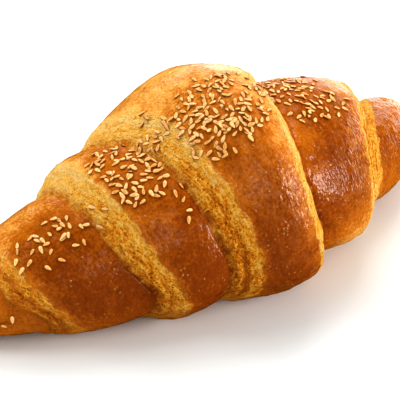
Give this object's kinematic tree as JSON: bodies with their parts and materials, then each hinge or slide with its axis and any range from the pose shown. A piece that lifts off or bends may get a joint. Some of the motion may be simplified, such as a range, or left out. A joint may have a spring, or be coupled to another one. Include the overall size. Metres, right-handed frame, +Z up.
{
  "type": "croissant",
  "caption": "Baked croissant rolled from layered dough, glazed golden brown, with sesame seeds scattered over its top.",
  "frame": {"origin": "middle of the bounding box, on the flat base", "axes": "+X along the length, +Z up, -Y out of the fuller front, so the blunt tips curl a little towards +Y"},
  "size_m": [0.195, 0.0882, 0.0675],
  "materials": {
    "crust": "egg-washed baked crust, glossy golden to deep brown, with pale porous cut faces between the wraps",
    "sesame": "hulled toasted sesame seed, satin"
  },
  "bodies": {
    "root": {"croissant_body": "crust", "sesame_seed_01": "sesame", "sesame_seed_02": "sesame", "sesame_seed_03": "sesame", "sesame_seed_04": "sesame", "sesame_seed_05": "sesame", "sesame_seed_06": "sesame", "sesame_seed_07": "sesame", "sesame_seed_08": "sesame", "sesame_seed_09": "sesame", "sesame_seed_10": "sesame", "sesame_seed_11": "sesame", "sesame_seed_12": "sesame", "sesame_seed_13": "sesame", "sesame_seed_14": "sesame", "sesame_seed_15": "sesame", "sesame_seed_16": "sesame", "sesame_seed_17": "sesame", "sesame_seed_18": "sesame", "sesame_seed_19": "sesame", "sesame_seed_20": "sesame", "sesame_seed_21": "sesame", "sesame_seed_22": "sesame", "sesame_seed_23": "sesame", "sesame_seed_24": "sesame", "sesame_seed_25": "sesame", "sesame_seed_26": "sesame", "sesame_seed_27": "sesame", "sesame_seed_28": "sesame", "sesame_seed_29": "sesame", "sesame_seed_30": "sesame", "sesame_seed_31": "sesame", "sesame_seed_32": "sesame", "sesame_seed_33": "sesame", "sesame_seed_34": "sesame", "sesame_seed_35": "sesame", "sesame_seed_36": "sesame", "sesame_seed_37": "sesame", "sesame_seed_38": "sesame", "sesame_seed_39": "sesame", "sesame_seed_40": "sesame", "sesame_seed_41": "sesame", "sesame_seed_42": "sesame", "sesame_seed_43": "sesame", "sesame_seed_44": "sesame", "sesame_seed_45": "sesame", "sesame_seed_46": "sesame", "sesame_seed_47": "sesame", "sesame_seed_48": "sesame", "sesame_seed_49": "sesame", "sesame_seed_50": "sesame", "sesame_seed_51": "sesame", "sesame_seed_52": "sesame", "sesame_seed_53": "sesame", "sesame_seed_54": "sesame", "sesame_seed_55": "sesame", "sesame_seed_56": "sesame", "sesame_seed_57": "sesame", "sesame_seed_58": "sesame", "sesame_seed_59": "sesame"}
  },
  "joints": []
}
